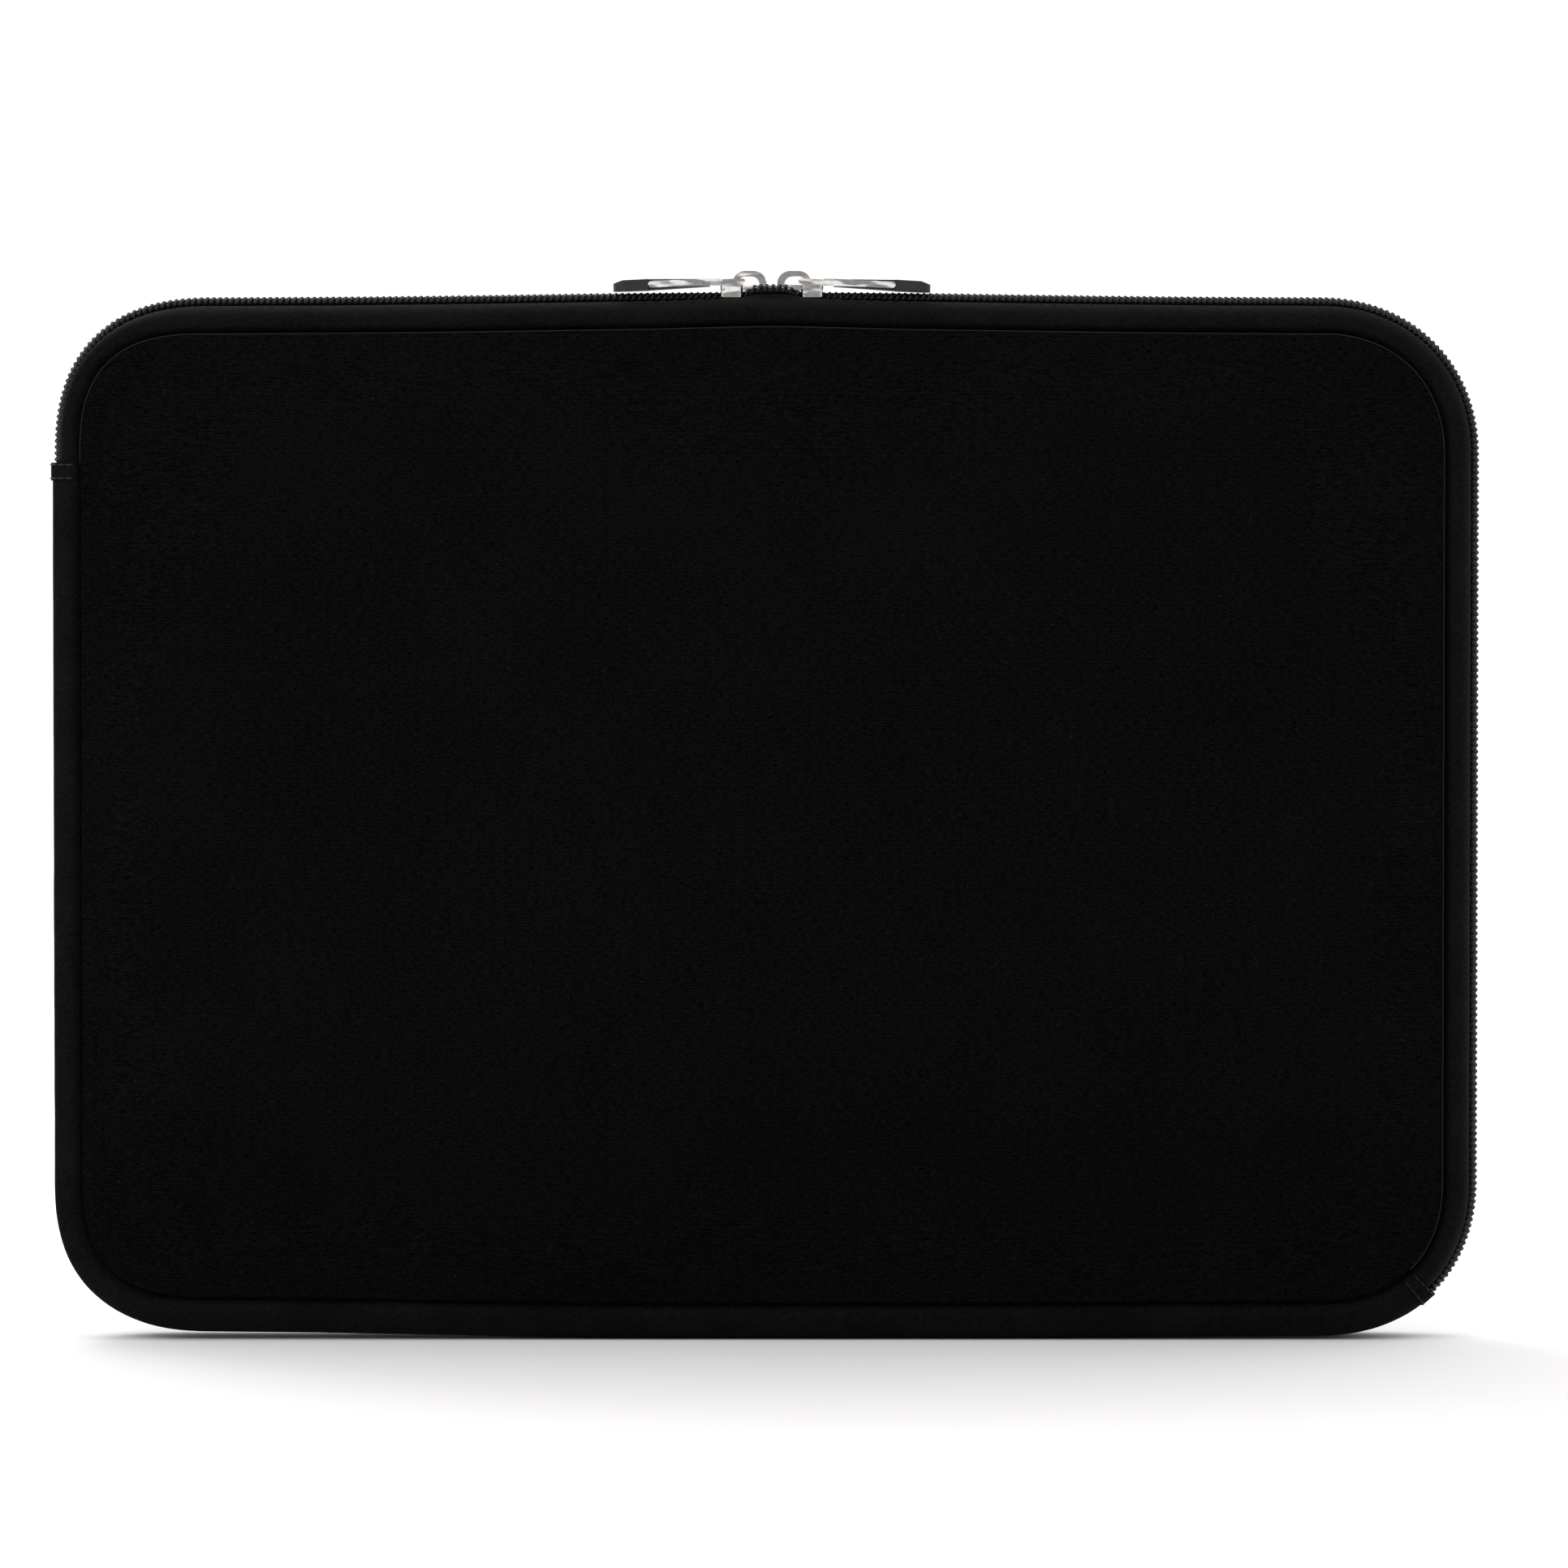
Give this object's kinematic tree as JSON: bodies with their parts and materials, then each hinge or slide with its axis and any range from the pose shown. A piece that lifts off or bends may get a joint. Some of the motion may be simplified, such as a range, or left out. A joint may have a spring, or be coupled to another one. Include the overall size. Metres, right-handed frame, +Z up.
{
  "type": "laptop sleeve",
  "caption": "Padded soft sleeve for a 13 inch laptop, black knit over foam, with a two-slider coil zip round three sides and rubber-filled metal pulls.",
  "frame": {"origin": "middle of the bottom edge, where the standing sleeve meets the floor", "axes": "+X along the width to the right as seen from the front, +Y from the front to the back, +Z up"},
  "size_m": [0.34, 0.024, 0.2551],
  "materials": {
    "cover_knit": "matte",
    "edge_twill": "matte",
    "foam": "matte",
    "lining": "matte",
    "binding": "matte",
    "zip_tape": "matte",
    "zip_coil": "satin",
    "thread": "satin",
    "nickel": "polished",
    "grip_rubber": "satin"
  },
  "bodies": {
    "sleeve": {"rear_cover": "cover_knit", "rear_foam": "foam", "rear_lining": "lining", "front_cover_fixed": "cover_knit", "front_foam_fixed": "foam", "front_lining_fixed": "lining", "spine_gusset": "edge_twill", "zip_band_rear": "edge_twill", "zip_tape_rear": "zip_tape", "zip_teeth_rear": "zip_coil", "zip_stitching_rear": "thread", "seam_binding_rear": "binding", "seam_binding_front_fixed": "binding", "zip_end_tab_left": "edge_twill", "zip_end_tab_right": "edge_twill", "tab_stitching": "thread"},
    "flap": {"front_cover_flap": "cover_knit", "front_foam_flap": "foam", "front_lining_flap": "lining", "zip_band_front": "edge_twill", "zip_tape_front": "zip_tape", "zip_teeth_front": "zip_coil", "zip_stitching_front": "thread", "seam_binding_front_flap": "binding"},
    "slider_left": {"slider_body_left": "nickel"},
    "slider_right": {"slider_body_right": "nickel"},
    "pull_left": {"pull_frame_left": "nickel", "pull_grip_left": "grip_rubber"},
    "pull_right": {"pull_frame_right": "nickel", "pull_grip_right": "grip_rubber"}
  },
  "joints": [
    {"name": "flap_open", "type": "hinge", "parent": "sleeve", "child": "flap", "pos_m": [-0.17, -0.012, 0.21], "axis": [0.8554, 0, -0.5179], "range_deg": [0, 60], "stiffness_Nm_per_rad": 0.05, "deforming": ["zip_teeth_front", "zip_tape_front"]},
    {"name": "slider_left_travel", "type": "slide", "parent": "sleeve", "child": "slider_left", "axis": [-1, 0, 0], "range_m": [-0.001, 0.12]},
    {"name": "slider_right_travel", "type": "slide", "parent": "sleeve", "child": "slider_right", "axis": [1, 0, 0], "range_m": [-0.001, 0.12]},
    {"name": "pull_left_swing", "type": "hinge", "parent": "slider_left", "child": "pull_left", "pos_m": [-0.0058, 0, 0.2526], "axis": [0, 1, 0], "range_deg": [0, 95]},
    {"name": "pull_right_swing", "type": "hinge", "parent": "slider_right", "child": "pull_right", "pos_m": [0.0082, 0, 0.2526], "axis": [0, -1, 0], "range_deg": [0, 95]}
  ]
}
